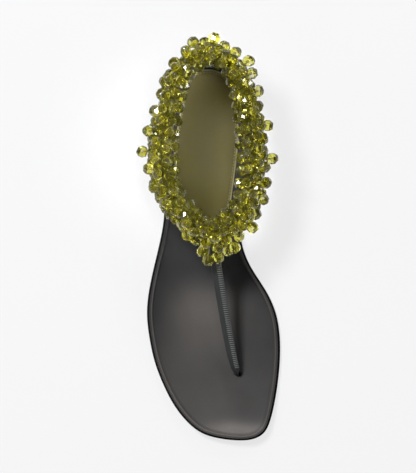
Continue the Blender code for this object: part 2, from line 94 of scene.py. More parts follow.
def closedSpline(points, count):
    # smooth closed curve through the points, a cubic spline on chord length
    points = np.asarray(points, float)
    n = len(points)
    step = np.linalg.norm(np.roll(points, -1, axis=0) - points, axis=1)
    before = np.roll(step, 1)
    rise = (np.roll(points, -1, axis=0) - points) / step[:, None]
    system = np.zeros((n, n))
    for i in range(n):
        system[i, i] += 2 * (before[i] + step[i])
        system[i, (i - 1) % n] += before[i]
        system[i, (i + 1) % n] += step[i]
    bend = np.linalg.solve(system, 6 * (rise - np.roll(rise, 1, axis=0)))
    knots = np.concatenate([[0.0], np.cumsum(step)])
    where = np.linspace(0, knots[-1], count, endpoint=False)
    index = np.clip(np.searchsorted(knots, where, side="right") - 1, 0, n - 1)
    width = step[index][:, None]
    low = (where - knots[index])[:, None]
    high = width - low
    start, end = points[index], points[(index + 1) % n]
    startBend, endBend = bend[index], bend[(index + 1) % n]
    return ((startBend * high**3 + endBend * low**3) / (6 * width)
            + (start / width - startBend * width / 6) * high
            + (end / width - endBend * width / 6) * low)


def openSpline(points, count):
    # smooth open curve through the points
    points = np.asarray(points, float)
    ends = np.vstack([2 * points[0] - points[1], points, 2 * points[-1] - points[-2]])
    found = []
    for t in np.linspace(0, len(points) - 1, count):
        i = min(int(t), len(points) - 2)
        u = t - i
        a, b, c, d = ends[i:i + 4]
        found.append(0.5 * (2 * b + (c - a) * u + (2 * a - 5 * b + 4 * c - d) * u**2
                            + (3 * b - a - 3 * c + d) * u**3))
    return np.array(found)


seatCurve = openSpline(sole["seat"], sole["seatSteps"])


def seatHeight(along):
    return float(np.interp(along, seatCurve[:, 0], seatCurve[:, 1]))


def groundHeight(along):
    return float(np.interp(along, *zip(*sole["ground"])))


def outlinePoints(shape):
    # points round an outline: along, across, and the point of the spine that each is drawn in to
    little = [(along, lateral) for along, lateral, _ in shape["sections"]]
    big = [(along, medial) for along, _, medial in reversed(shape["sections"])]
    dense = closedSpline([shape["back"], *little, shape["front"], *big], outlineSteps)
    tip = int(np.argmax(dense[:, 0]))
    littleSide = dense[:tip + 1]
    bigSide = np.vstack([dense[tip:], dense[:1]])[::-1]
    first, last = shape["spine"]
    stations = np.linspace(first, last, shape["sidePoints"])

    def edge(side, along):
        return np.interp(along, side[:, 0], side[:, 1])

    middle = (edge(littleSide, stations) + edge(bigSide, stations)) / 2

    def endPoints(run, which, count):
        lengths = np.concatenate([[0], np.cumsum(np.linalg.norm(np.diff(run, axis=0), axis=1))])
        where = np.linspace(0, lengths[-1], count + 2)[1:-1]
        return [(np.interp(w, lengths, run[:, 0]), np.interp(w, lengths, run[:, 1]),
                 stations[which], middle[which]) for w in where]

    toe = np.vstack([littleSide[littleSide[:, 0] > last], bigSide[bigSide[:, 0] > last][::-1]])
    heel = np.vstack([bigSide[bigSide[:, 0] < first][::-1], littleSide[littleSide[:, 0] < first]])
    down = list(zip(stations, edge(littleSide, stations), stations, middle))
    back = list(zip(stations, edge(bigSide, stations), stations, middle))[::-1]
    return [*down, *endPoints(toe, -1, shape["endPoints"][1]),
            *back, *endPoints(heel, 0, shape["endPoints"][0])]


def ringAt(outline, inset, height):
    # a ring this far in from the outline; height(along, share, medial) sets how high it runs
    ring = []
    for along, across, spineAlong, spineAcross in outline:
        share = min(1.0, inset / math.hypot(spineAlong - along, spineAcross - across))
        medial = 1.0 if across > spineAcross else 0.0
        a = along + (spineAlong - along) * share
        ring.append(place(a, across + (spineAcross - across) * share, height(a, share, medial)))
    return ring


def linkObject(name, data):
    made = bpy.data.objects.new(name, data)
    bpy.context.scene.collection.objects.link(made)
    return made


def takeMesh(name, bm):
    mesh = bpy.data.meshes.new(name)
    bm.to_mesh(mesh)
    bm.free()
    return mesh


def skin(name, rings, material, closedPath=False, fields=None):
    # a smooth mesh through rings of points; fields name values that each ring carries for its material
    bm = bmesh.new()
    layers = {label: bm.verts.layers.float.new(label) for label in fields or {}}
    rows = []
    for i, ring in enumerate(rings):
        row = [bm.verts.new(p) for p in ring]
        for label, layer in layers.items():
            for v in row:
                v[layer] = fields[label][i]
        rows.append(row)
    pairs = list(zip(rows, rows[1:]))
    if closedPath:
        pairs.append((rows[-1], rows[0]))
    for a, b in pairs:
        for i in range(len(a)):
            j = (i + 1) % len(a)
            bm.faces.new((a[i], a[j], b[j], b[i]))
    if not closedPath:
        bm.faces.new(rows[0])
        bm.faces.new(rows[-1])
    bmesh.ops.remove_doubles(bm, verts=bm.verts, dist=mergeWithin * mm)
    bmesh.ops.recalc_face_normals(bm, faces=bm.faces)
    mesh = takeMesh(name, bm)
    mesh.materials.append(material)
    mesh.shade_smooth()
    return linkObject(name, mesh)


def keepResult(piece):
    # the mesh that the modifiers make becomes the piece's own
    graph = bpy.context.evaluated_depsgraph_get()
    piece.data = bpy.data.meshes.new_from_object(
        piece.evaluated_get(graph), preserve_all_data_layers=True, depsgraph=graph)
    piece.modifiers.clear()


def wear(piece, slotName, *nodes):
    # the piece rides on the sandal's one body and stands for these nodes
    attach(piece, "root")
    if nodes:
        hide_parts(*nodes)


# Materials

bandScale = 0.3  # wave scale that sets bands about a metre apart


def hexColour(code):
    # sRGB hex to linear
    parts = [int(code[i:i + 2], 16) / 255 for i in (1, 3, 5)]
    return (*(c / 12.92 if c <= 0.04045 else ((c + 0.055) / 1.055) ** 2.4 for c in parts), 1.0)


def addNode(tree, kind, settings=(), sockets=()):
    # one node with its settings, and its inputs set to values or linked from other sockets
    made = tree.nodes.new(kind)
    for name, value in dict(settings).items():
        setattr(made, name, value)
    for name, value in dict(sockets).items():
        if isinstance(value, bpy.types.NodeSocket):
            tree.links.new(value, made.inputs[name])
        else:
            made.inputs[name].default_value = value
    return made


def newMaterial(name):
    made = bpy.data.materials.new(name)
    made.use_nodes = True
    made.node_tree.nodes.clear()
    return made, made.node_tree


def endMaterial(tree, surface):
    # every material ends in one shader with these inputs
    shader = addNode(tree, "ShaderNodeBsdfPrincipled", {}, surface)
    addNode(tree, "ShaderNodeOutputMaterial", {}, {"Surface": shader.outputs["BSDF"]})


def leatherMaterial(name, look):
    # tanned leather: a soft satin, cells of fine grain, faint clouds in the dye, a paler painted sheen where
    # it is
    # also shinier, and an edge tone: painted shade on the footbed and toe strap, the pale skived edge of the
    # sock
    made, tree = newMaterial(name)
    fineGrain = look["grain"] * 0.45
    fineShare, gatherShare = 0.35, 0.5  # what the finer grain and the gathers add to the relief
    where = addNode(tree, "ShaderNodeTexCoord").outputs["Object"]
    clouds = addNode(tree, "ShaderNodeTexNoise", {},
                     {"Vector": where, "Scale": 1 / (look["cloud"] * mm), "Detail": 3.0, "Roughness": 0.55})
    cells = addNode(tree, "ShaderNodeTexVoronoi", {"feature": "SMOOTH_F1"},
                    {"Vector": where, "Scale": 1 / (look["grain"] * mm), "Smoothness": 0.6})
    fine = addNode(tree, "ShaderNodeTexNoise", {},
                   {"Vector": where, "Scale": 1 / (fineGrain * mm), "Detail": 2.0})
    relief = addNode(tree, "ShaderNodeMath", {"operation": "MULTIPLY_ADD"},
                     {0: fine.outputs["Fac"], 1: fineShare, 2: cells.outputs["Distance"]})
    if "gather" in look:  # faint ribs across a strip that was gathered as it was sewn
        run = addNode(tree, "ShaderNodeAttribute", {"attribute_name": "run"})
        turns = addNode(tree, "ShaderNodeMath", {"operation": "MULTIPLY"},
                        {0: run.outputs["Fac"], 1: 2 * math.pi / (look["gather"] * mm)})
        wave = addNode(tree, "ShaderNodeMath", {"operation": "SINE"}, {0: turns.outputs[0]})
        relief = addNode(tree, "ShaderNodeMath", {"operation": "MULTIPLY_ADD"},
                         {0: wave.outputs[0], 1: gatherShare, 2: relief.outputs[0]})
    # painted sheen: where this mask lies the colour is paler, and the roughness is lower as well
    paintedSheen = addNode(tree, "ShaderNodeAttribute", {"attribute_name": "glossAndPaintedSheen"})
    # painted shade along the footbed's edges and the toe strap's cut edges; on the sock, its pale skived edge
    rim = addNode(tree, "ShaderNodeAttribute", {"attribute_name": "rimShade"})
    colour = hexColour(look["deep"])
    for cover, tone in ((clouds, "light"), (paintedSheen, "paintedSheenTone"), (rim, "edge")):
        mixed = addNode(tree, "ShaderNodeMix", {"data_type": "RGBA"},
                        {0: cover.outputs["Fac"], 6: colour, 7: hexColour(look[tone])})
        colour = mixed.outputs[2]
    gloss = addNode(tree, "ShaderNodeMapRange", {},
                    {"Value": clouds.outputs["Fac"], "From Min": 0.3, "From Max": 0.7,
                     "To Min": look["roughness"] - 0.05, "To Max": look["roughness"] + 0.05})
    shine = addNode(tree, "ShaderNodeMath", {"operation": "MULTIPLY_ADD"},
                    {0: paintedSheen.outputs["Fac"], 1: -look["glossAndPaintedSheen"], 2: gloss.outputs["Result"]})
    bump = addNode(tree, "ShaderNodeBump", {},
                   {"Height": relief.outputs[0], "Strength": look["relief"], "Distance": 0.12 * mm})
    endMaterial(tree, {
        "Base Color": colour,
        "Roughness": shine.outputs[0],
        "Normal": bump.outputs["Normal"],
        "IOR": 1.48,
        "Specular IOR Level": look["specular"],
    })
    return made


# Outsole: one moulded rubber unit with a flat heel, a raised waist and a sprung toe

rubberLook = {"deep": "#111112", "light": "#1a1a1b", "grain": 0.7, "cloud": 22.0, "roughness": 0.65,
              "ior": 1.4, "specular": 0.08}


def rubberMaterial(look):
    # moulded black rubber: a flat satin with the fine pebble of the mould and paler scuffs where it rubs
    made, tree = newMaterial("mouldedRubber")
    where = addNode(tree, "ShaderNodeTexCoord").outputs["Object"]
    pebble = addNode(tree, "ShaderNodeTexVoronoi", {"feature": "SMOOTH_F1"},
                     {"Vector": where, "Scale": 1 / (look["grain"] * mm), "Smoothness": 0.8})
    scuffs = addNode(tree, "ShaderNodeTexNoise", {},
                     {"Vector": where, "Scale": 1 / (look["cloud"] * mm), "Detail": 5.0, "Roughness": 0.65})
    colour = addNode(tree, "ShaderNodeMix", {"data_type": "RGBA"},
                     {0: scuffs.outputs["Fac"], 6: hexColour(look["deep"]), 7: hexColour(look["light"])})
    gloss = addNode(tree, "ShaderNodeMapRange", {},
                    {"Value": scuffs.outputs["Fac"], "From Min": 0.3, "From Max": 0.7,
                     "To Min": look["roughness"] - 0.06, "To Max": look["roughness"] + 0.08})
    bump = addNode(tree, "ShaderNodeBump", {},
                   {"Height": pebble.outputs["Distance"], "Strength": 0.35, "Distance": 0.1 * mm})
    endMaterial(tree, {
        "Base Color": colour.outputs[2],
        "Roughness": gloss.outputs["Result"],
        "Normal": bump.outputs["Normal"],
        "IOR": look["ior"],
        "Specular IOR Level": look["specular"],
    })
    return made


def makeOutsole():
    outline = outlinePoints(sole)
    edge, top = sole["edgeRound"], sole["seatRound"]

    def ground(lift):
        return lambda along, share, medial: groundHeight(along) + lift

    def seat(drop):
        return lambda along, share, medial: seatHeight(along) - drop

    def wall(level):
        # a share of the way up the edge
        return lambda along, share, medial: groundHeight(along) * (1 - level) + seatHeight(along) * level

    quarter = np.linspace(0, math.pi / 2, sole["roundSteps"])
    rings = [ringAt(outline, inset, ground(0)) for inset in sole["underInsets"]]
    rings += [ringAt(outline, edge * (1 - math.sin(t)), ground(edge * (1 - math.cos(t))))
              for t in quarter]
    rings += [ringAt(outline, 0.0, wall(level)) for level in sole["wallLevels"]]
    rings += [ringAt(outline, top * (1 - math.cos(t)), seat(top * (1 - math.sin(t))))
              for t in quarter]
    rings += [ringAt(outline, inset, seat(0)) for inset in sole["seatInsets"]]
    return skin("outsole_rubber", rings, rubberMaterial(rubberLook))


outsole = makeOutsole()
wear(outsole, "sole_rubber", "outsole")
print("outsole:", len(outsole.data.polygons), "faces")


# Straps: their lines come first, because the footbed opens for them

band = {
    # along, across and height of the band's middle line, from the back round the big toe side
    "points": [
        (1.1, -0.2, 66), (8.9, 14.1, 65), (25.9, 20.5, 63), (44.3, 22.6, 61), (65.5, 24.1, 58.5),
        (84.4, 23.2, 56.5), (99.1, 17, 55), (108.2, 2.5, 54), (97.8, -12.5, 55), (83, -22.2, 56.5),
        (65.5, -24.9, 58.5), (48.1, -23.9, 60.5), (30.5, -20.9, 62.5), (11.8, -15.5, 64.5),
    ],
    "height": 16,
    "thickness": 2,
    "round": 0.8,
    "frames": 200,
}
toeStrap = {
    "points": [
        (206.2, 19.9, 5.2), (205.6, 19.5, 9.6), (201.8, 18.1, 13.9), (190, 15.2, 21.4),
        (165, 10.5, 32.6), (134, 5.5, 45.4), (108.4, 2.5, 54),
    ],
    "widths": [  # share of the way up from the footbed, width
        (0, 1.4), (0.167, 1.7), (0.25, 3.6), (0.33, 5.4), (0.5, 6.3), (0.67, 6.7),
    ],
    "thickness": 2.2,
    "welt": 0.58,  # share of the width that is rolled and oversewn, on the big toe side
    "round": 0.35,
    "painted": (0, 1, 2, 8),  # corners of the section at its two cut edges, darkened with painted shade
    "sections": 150,
    "openingGap": 0.45,  # room round the strap in the footbed
    "openingDepth": 8,
    "ribPitch": 1.5,
    "rib": (3.6, 0.8, 0.55),  # length across the strap, width, height
    "ribFrames": (53, -3),  # the first and last section that carry ribs
    "ribLift": 0.53,  # share of the thickness
    "ribLean": 0.12,  # towards the big toe side
    "ribTurn": 82,  # degrees from the strap's own direction
}
backStrap = {
    "points": [(2.2, 9.9), (1.2, 17), (-0.6, 30), (-0.8, 44), (0.4, 57), (1.1, 66)],
    "widths": (23, 15),  # at the sole, at the band
    "curve": 30,  # radius of its wrap round the heel
    "thickness": 2,
    "round": 0.7,
    "acrossSteps": (0.9, 13),  # how far out and how many points lie across each face
    "sections": 60,
    "openingGap": 0.25,
    "openingDepth": 4,
}


def bandFrames(count):
    # points of the band's middle line, each with its outward direction
    path = closedSpline(band["points"], count)
    ahead = np.roll(path, -1, axis=0) - np.roll(path, 1, axis=0)
    flat = np.hypot(ahead[:, 0], ahead[:, 1])
    return np.column_stack([path, -ahead[:, 1] / flat, ahead[:, 0] / flat])


def bandPoint(at, out, up):
    return at[0] + at[3] * out, at[1] + at[4] * out, at[2] + up


def roundedSection(corners, radius, steps=4):
    # a polygon with its corners rounded, as a list of points
    most = 0.48  # share of a side that one corner may take
    found = []
    corners = [Vector(c) for c in corners]
    for i, corner in enumerate(corners):
        before = corners[i - 1] - corner
        after = corners[(i + 1) % len(corners)] - corner
        cut = min(radius, before.length * most, after.length * most)
        start = corner + before.normalized() * cut
        end = corner + after.normalized() * cut
        for t in np.linspace(0, 1, steps):
            found.append(start * (1 - t) ** 2 + corner * 2 * t * (1 - t) + end * t * t)
    return found


def toeStrapFrames():
    # centre, sideways and over directions, and half width, from the footbed up to the band
    path = [place(*p) for p in openSpline(toeStrap["points"], toeStrap["sections"])]
    flat = path[0] - path[-1]
    side = Vector((-flat.y, flat.x, 0)).normalized()
    frames = []
    for i, centre in enumerate(path):
        back = path[min(i + 1, len(path) - 1)] - path[max(i - 1, 0)]
        share = i / (len(path) - 1)
        half = float(np.interp(share, *zip(*toeStrap["widths"]))) / 2
        frames.append((centre, side, side.cross(back).normalized(), half))
    return frames


strapLook = {"deep": "#1b1b1c", "light": "#29292a", "paintedSheenTone": "#29292a", "edge": "#141415", "grain": 0.8,
             "cloud": 9.0, "roughness": 0.42, "relief": 0.3, "glossAndPaintedSheen": 0.0, "specular": 0.5}
toeStrapLook = {"deep": "#252727", "light": "#323434", "paintedSheenTone": "#323434", "edge": "#141415", "grain": 0.8,
                "cloud": 9.0, "roughness": 0.45, "relief": 0.6, "glossAndPaintedSheen": 0.0, "specular": 0.5,
                "gather": 1.1}
strapLeather = leatherMaterial("smoothCalf", strapLook)
gatheredLeather = leatherMaterial("gatheredCalf", toeStrapLook)


def makeToeStrap(name, clearance):
    thick = toeStrap["thickness"] / 2 + clearance
    rings = []
    for centre, side, over, half in toeStrapFrames():
        half += clearance
        centre = centre + side * (clearance * mm)  # the opening gapes on the big toe side
        welt = 2 * half * toeStrap["welt"]
        corners = [  # flat on the little toe side, with the rolled welt on the big toe side
            (-half, -thick), (half - 0.3, -thick), (half, 0.0), (half - 0.2, thick * 0.8),
            (half - welt * 0.35, thick * 1.15), (half - welt * 0.75, thick * 1.1),
            (half - welt, thick * 0.7), (0.3 - half, thick * 0.5), (-half, thick * 0.2),
        ]
        section = roundedSection(corners, toeStrap["round"])
        rings.append([centre + side * (w * mm) + over * (t * mm) for w, t in section])
    if clearance:
        rings.insert(0, [p + Vector((0, 0, -toeStrap["openingDepth"] * mm)) for p in rings[0]])
    centres = [sum(ring, Vector()) / len(ring) for ring in rings]
    run = np.concatenate([[0.0], np.cumsum([(b - a).length for a, b in zip(centres, centres[1:])])])
    made = skin(name, rings, strapLeather if clearance else gatheredLeather, fields={"run": run})
    # painted shade along the strap's two cut edges
    shade = made.data.attributes.new("rimShade", "FLOAT", "POINT").data
    perCorner = len(rings[0]) // len(corners)
    for i in range(len(rings) * len(rings[0])):
        corner = i % len(rings[0]) // perCorner
        shade[i].value = 1.0 if corner in toeStrap["painted"] else 0.0
    return made


def makeBackStrap(name, clearance):
    path = openSpline(backStrap["points"], backStrap["sections"])
    low, high = backStrap["widths"]
    radius = backStrap["curve"]
    half = backStrap["thickness"] / 2 + clearance
    far, count = backStrap["acrossSteps"]
    steps = list(np.linspace(-far, far, count))
    rings = []
    for along, height in path:
        rise = (height - path[0][1]) / (path[-1][1] - path[0][1])
        reach = (low + (high - low) * rise) / 2 + clearance
        inner = [(s * reach, -half) for s in (-1, *steps, 1)]
        outer = [(s * reach, half) for s in (1, *reversed(steps), -1)]
        ring = []
        for across, out in roundedSection(inner + outer, backStrap["round"]):
            wrap = radius - math.sqrt(radius**2 - across**2)
            ring.append(place(along + wrap + out, across, height))
        rings.append(ring)
    if clearance:
        rings.insert(0, [p + Vector((0, 0, -backStrap["openingDepth"] * mm)) for p in rings[0]])
    return skin(name, rings, strapLeather)


def makeBand():
    half, wall = band["height"] / 2, band["thickness"] / 2
    corners = [(-wall, -half), (-wall, 0), (-wall, half), (wall, half), (wall, 0), (wall, -half)]
    section = roundedSection(corners, band["round"])
    rings = [[place(*bandPoint(at, out, up)) for out, up in section] for at in bandFrames(band["frames"])]
    return skin("ankle_band", rings, strapLeather, closedPath=True)


ankleBand = makeBand()
thong = makeToeStrap("toe_strap", 0.0)
heelStrap = makeBackStrap("back_strap", 0.0)
for piece in (ankleBand, thong, heelStrap):
    wear(piece, "strap_leather", "upper")
print("straps:", sum(len(p.data.polygons) for p in (ankleBand, thong, heelStrap)), "faces")


# Footbed: a board padded and covered in smooth nappa, dished under the foot

footbed = {
    "gap": 0.3,  # above the outsole
    "inset": 1.6,  # the ledge that the outsole shows
    "thickness": 4.4,
    "rimDrop": [  # along, depth of the dish under the rim: deeper at the waist and under the toe
        (0, 1.8), (60, 2), (105, 3.4), (150, 3.6), (185, 3.2), (205, 3), (235, 3.3),
        (250, 3.4),
    ],
    "heelCup": (1.2, 70),  # rise at the heel's end, and how far along it fades
    "arch": (3.6, 104, 46),  # rise on the waist's big toe side, where, and its reach
    "shoulder": [  # inset from the footbed's edge, depth under the rim
        (0, 1.9), (0.08, 1.45), (0.25, 1.05), (0.5, 0.7), (0.85, 0.4), (1.25, 0.2), (1.7, 0.1), (2.1, 0.14),
    ],
    "paintedEdgeShade": 1,  # how far in from the edge the painted shade fades
    "under": 14,  # inset of the middle ring of its flat underside
    "foot": [(0.5, 0), (0.15, 0.15), (0, 0.5)],  # inset and height of the rounded lower edge
    "dish": (4, 4.8, 5.8, 7.2, 9, 11.5, 14, 17, 20, 23.5, 27, 31),
    "wave": (12, 0.09),  # length and height of the soft waves in the padding
    # painted sheen, palest under the ball: along, across, and its two reaches
    "paintedSheen": (162, -5, 26, 17),
    # painted sheen, left off the waist as painted shadow: along where it starts and where it is full, and how
    # pale the toe is
    "paintedSheenRange": (134, 164, 0.38),
    # painted shade along the outer edge: across where it starts and is full, strength, reach, along where it
    # fades
    "outer": (-6, -18, 1, 14, 165, 205),
    # painted shade on the big toe side: across where it starts and is full, strength
    "inner": (8, 26, 0.5),
    # painted highlight at the toe end: along, across, its two reaches and strength
    "paintedToeHighlight": (243, 20, 5.5, 22, 0.8),
    # painted highlight on the rim: inset, reach, strength, and along where it starts and is full
    "paintedRimHighlight": (3, 0.9, 0.42, 114, 144),
    # painted shade in a line inside the rim: inset, strength, reach, and along where it fades
    "paintedShadeLine": (4.8, 0.55, 6, 185, 225),
    "slot": (205, 20, 5.5, 0.5),  # along, across, reach and depth of the leather pulled in at the strap
    "padFrom": 1,  # height over the underside from which the padding gives
}
# the paler tone is a painted sheen; the edge tone is painted shade on the footbed's side and outer shoulder
footbedLook = {"deep": "#171719", "light": "#202022", "paintedSheenTone": "#4c4743", "edge": "#080808", "grain": 1.1,
               "cloud": 26.0, "roughness": 0.76, "relief": 0.3, "glossAndPaintedSheen": 0.31, "specular": 0.5}


def footbedRim(along, medial):
    cup, cupReach = footbed["heelCup"]
    rise, middle, reach = footbed["arch"]
    nearArch = max(0.0, 1 - ((along - middle) / reach) ** 2)
    return (seatHeight(along) + footbed["gap"] + footbed["thickness"]
            + cup * max(0.0, 1 - along / cupReach) + medial * rise * nearArch**2)


def footbedTop(along, share, medial):
    drop = float(np.interp(along, *zip(*footbed["rimDrop"])))
    base = seatHeight(along) + footbed["gap"] + footbed["thickness"] - drop
    fall = max(0.0, 1 - share)
    return base + (footbedRim(along, medial) - base) * fall**2


def softStep(value, start, full):
    # a soft step from 0 at the start to 1 where it is full
    share = min(1.0, max(0.0, (value - start) / (full - start)))
    return share * share * (3 - 2 * share)


def makeFootbed(cutters):
    outline = outlinePoints(sole)
    inset = footbed["inset"]

    def bottom(lift):
        return lambda along, share, medial: seatHeight(along) + footbed["gap"] + lift

    def belowRim(drop):
        return lambda along, share, medial: footbedRim(along, medial) - drop

    # each row: inset, height, and how dark its painted shade is
    rows = [(allTheWay, bottom(0), 1), (footbed["under"], bottom(0), 1)]
    rows += [(inset + i, bottom(lift), 1) for i, lift in footbed["foot"]]
    rows += [(inset + i, belowRim(drop), max(0.0, 1 - i / footbed["paintedEdgeShade"]))
             for i, drop in footbed["shoulder"]]
    line, strength, fade, fadeStart, fadeEnd = footbed["paintedShadeLine"]
    rows += [(i, footbedTop, strength * math.exp(-abs(i - line) / fade)) for i in footbed["dish"]]
    rows.append((allTheWay, footbedTop, 0))
    rings = [ringAt(outline, i, height) for i, height, _ in rows]
    made = skin("footbed_leather", rings, leatherMaterial("smoothNappa", footbedLook),
                fields={"rimShade": [s for _, _, s in rows], "glossAndPaintedSheen": [i for i, _, _ in rows]})
    slotAlong, slotAcross, reach, depth = footbed["slot"]
    slotPlace = place(slotAlong, slotAcross, 0)
    waveLength, waveHeight = footbed["wave"]
    shade = made.data.attributes["rimShade"].data
    glossAndPaintedSheen = made.data.attributes["glossAndPaintedSheen"].data  # holds each point's inset until the loop below
    ballAlong, ballAcross, alongReach, acrossReach = footbed["paintedSheen"]
    sheenStart, sheenFull, toePale = footbed["paintedSheenRange"]
    outerStart, outerEnd, outerDark, outerReach, fadeFrom, fadeTo = footbed["outer"]
    innerStart, innerEnd, innerDark = footbed["inner"]
    endAlong, endAcross, endReach, endWidth, endPale = footbed["paintedToeHighlight"]
    rimInset, rimReach, rimPale, rimStart, rimFull = footbed["paintedRimHighlight"]
    for v in made.data.vertices:
        along = heelEnd - v.co.y / mm
        across = v.co.x / mm - middleLine
        # painted sheen, palest under the ball, left off the waist as painted shadow and off the outer and big
        # toe sides as painted shade, with painted highlights at the toe end and on the rim
        ball = math.exp(-((along - ballAlong) / alongReach) ** 2 - ((across - ballAcross) / acrossReach) ** 2)
        front = softStep(along, sheenStart, sheenFull)
        fromEdge = glossAndPaintedSheen[v.index].value
        outer = softStep(across, outerStart, outerEnd) * math.exp(-(fromEdge / outerReach) ** 2)
        outer *= outerDark * (1 - softStep(along, fadeFrom, fadeTo))
        inner = innerDark * softStep(across, innerStart, innerEnd)
        paintedToeHighlight = math.exp(-((along - endAlong) / endReach) ** 2 - ((across - endAcross) / endWidth) ** 2)
        pale = front * (toePale + (1 - toePale) * ball) * (1 - outer) * (1 - inner)
        rim = rimPale * math.exp(-((fromEdge - rimInset) / rimReach) ** 2)
        rim *= softStep(along, rimStart, rimFull)
        glossAndPaintedSheen[v.index].value = min(1.0, pale + endPale * paintedToeHighlight + rim)
        # the painted shade line fades out towards the toe
        if shade[v.index].value <= strength:
            shade[v.index].value *= float(np.interp(along, (fadeStart, fadeEnd), (1, 0)))
        if v.co.z > (seatHeight(along) + footbed["gap"] + footbed["padFrom"]) * mm:
            away = math.hypot(v.co.x - slotPlace.x, v.co.y - slotPlace.y) / mm
            pulled = depth * math.exp(-(away / reach) ** 2)
            wave = waveHeight * noise.noise(Vector((v.co.x, v.co.y, 0)) / (waveLength * mm))
            v.co.z += (wave - pulled) * mm
    for cutter in cutters:
        cut = made.modifiers.new("opening", "BOOLEAN")
        cut.operation = "DIFFERENCE"
        cut.object = cutter
        cut.solver = "EXACT"
    keepResult(made)
    for cutter in cutters:
        bpy.data.objects.remove(cutter)
    return made


footbedPiece = makeFootbed([
    makeToeStrap("toe_strap_opening", toeStrap["openingGap"]),
    makeBackStrap("back_strap_opening", backStrap["openingGap"]),
])
wear(footbedPiece, "footbed_leather", "footbed")
print("footbed:", len(footbedPiece.data.polygons), "faces")


# Heel sock: a thin olive lining with a skived, stitched edge

sock = {
    "back": (4.4, 0),
    "front": (110, -2.2),
    "sections": [
        (6.4, -8, 8.2), (13, -13.6, 14.8), (26, -17.2, 18.8), (42, -20.2, 20),
        (62, -22.6, 19.2), (82, -21.6, 16.6), (97, -18.9, 13.9), (106, -13.6, 9.4),
    ],
    "spine": (24, 92),
    "sidePoints": 60,
    "endPoints": (36, 36),
    "thickness": 1.2,
    "gap": 0.3,
    "rows": [  # inset, share of the thickness, and how pale the skived edge is
        (allTheWay, 0, 0), (8, 0, 0), (0, 0, 1), (0, 0.4, 1), (0.12, 0.66, 1),
        (0.4, 0.86, 1), (0.8, 0.96, 0.8), (1.2, 1, 0.25), (1.6, 1, 0), (2.4, 1, 0),
        (4, 1, 0), (7, 1, 0), (11, 1, 0), (15, 1, 0), (allTheWay, 1, 0),
    ],
    "stitchInset": 1.9,
    "stitch": (1.5, 0.42, 0.34),  # length, width, height
    "stitchPitch": 2.1,
}
sockLook = {"deep": "#3f3811", "light": "#4c4515", "paintedSheenTone": "#4c4515", "edge": "#8b8460", "grain": 1.0,
            "cloud": 20.0, "roughness": 0.6, "relief": 0.3, "glossAndPaintedSheen": 0.0, "specular": 0.22}


def sockRing(inset, piece, lift):
    # a ring of the sock's outline, dropped on a piece from above and lifted: points and normals
    points, normals = [], []
    for p in ringAt(outlinePoints(sock), inset, lambda along, share, medial: 0):
        _, hit, normal, _ = piece.ray_cast(Vector((p.x, p.y, dropFrom * mm)), Vector((0, 0, -1)))
        points.append(Vector((p.x, p.y, hit.z + lift * mm)))
        normals.append(normal)
    return points, normals


def makeSock():
    rings = [sockRing(inset, footbedPiece, sock["gap"] + sock["thickness"] * share)[0]
             for inset, share, _ in sock["rows"]]
    return skin("heel_sock_leather", rings, leatherMaterial("oliveNappa", sockLook),
                fields={"rimShade": [paint for _, _, paint in sock["rows"]]})


heelSock = makeSock()
wear(heelSock, "sock_leather", "heel_sock")
print("heel sock:", len(heelSock.data.polygons), "faces")


# Geometry Nodes: beads on their places, stitches along a line, threads

def newTree(name, inputs):
    tree = bpy.data.node_groups.new(name, "GeometryNodeTree")
    tree.interface.new_socket("Geometry", in_out="INPUT", socket_type="NodeSocketGeometry")
    tree.interface.new_socket("Geometry", in_out="OUTPUT", socket_type="NodeSocketGeometry")
    for label, kind in inputs:
        tree.interface.new_socket(label, in_out="INPUT", socket_type="NodeSocket" + kind)
    return tree, addNode(tree, "NodeGroupInput").outputs


def endTree(tree, geometry, material):
    # every tree ends in realised instances with their material
    real = addNode(tree, "GeometryNodeRealizeInstances", {}, {"Geometry": geometry}).outputs[0]
    painted = addNode(tree, "GeometryNodeSetMaterial", {}, {"Geometry": real, "Material": material})
    addNode(tree, "NodeGroupOutput", {}, {"Geometry": painted.outputs[0]})


def randomTone(tree, geometry, seed, name, domain):
    # a random value kept on each instance or face, for the material
    chance = addNode(tree, "FunctionNodeRandomValue", {"data_type": "FLOAT"}, {"Seed": seed}).outputs[1]
    toned = addNode(tree, "GeometryNodeStoreNamedAttribute", {"data_type": "FLOAT", "domain": domain},
                    {"Geometry": geometry, "Name": name, "Value": chance})
    return toned.outputs[0]


def growPiece(name, points, edges, attributes, tree, values):
    # a mesh of points with attributes, run through a tree and kept as a plain mesh
    mesh = bpy.data.meshes.new(name)
    mesh.from_pydata([tuple(p) for p in points], edges, [])
    for label, (kind, data) in attributes.items():
        field = mesh.attributes.new(label, kind, "POINT")
        entry = "vector" if kind == "FLOAT_VECTOR" else "value"
        field.data.foreach_set(entry, np.asarray(data, np.float32).ravel())
    made = linkObject(name, mesh)
    grown = made.modifiers.new(tree.name, "NODES")
    grown.node_group = tree
    for item in tree.interface.items_tree:
        if item.in_out == "INPUT" and item.name in values:
            grown[item.identifier] = values[item.name]
    keepResult(made)
    return made


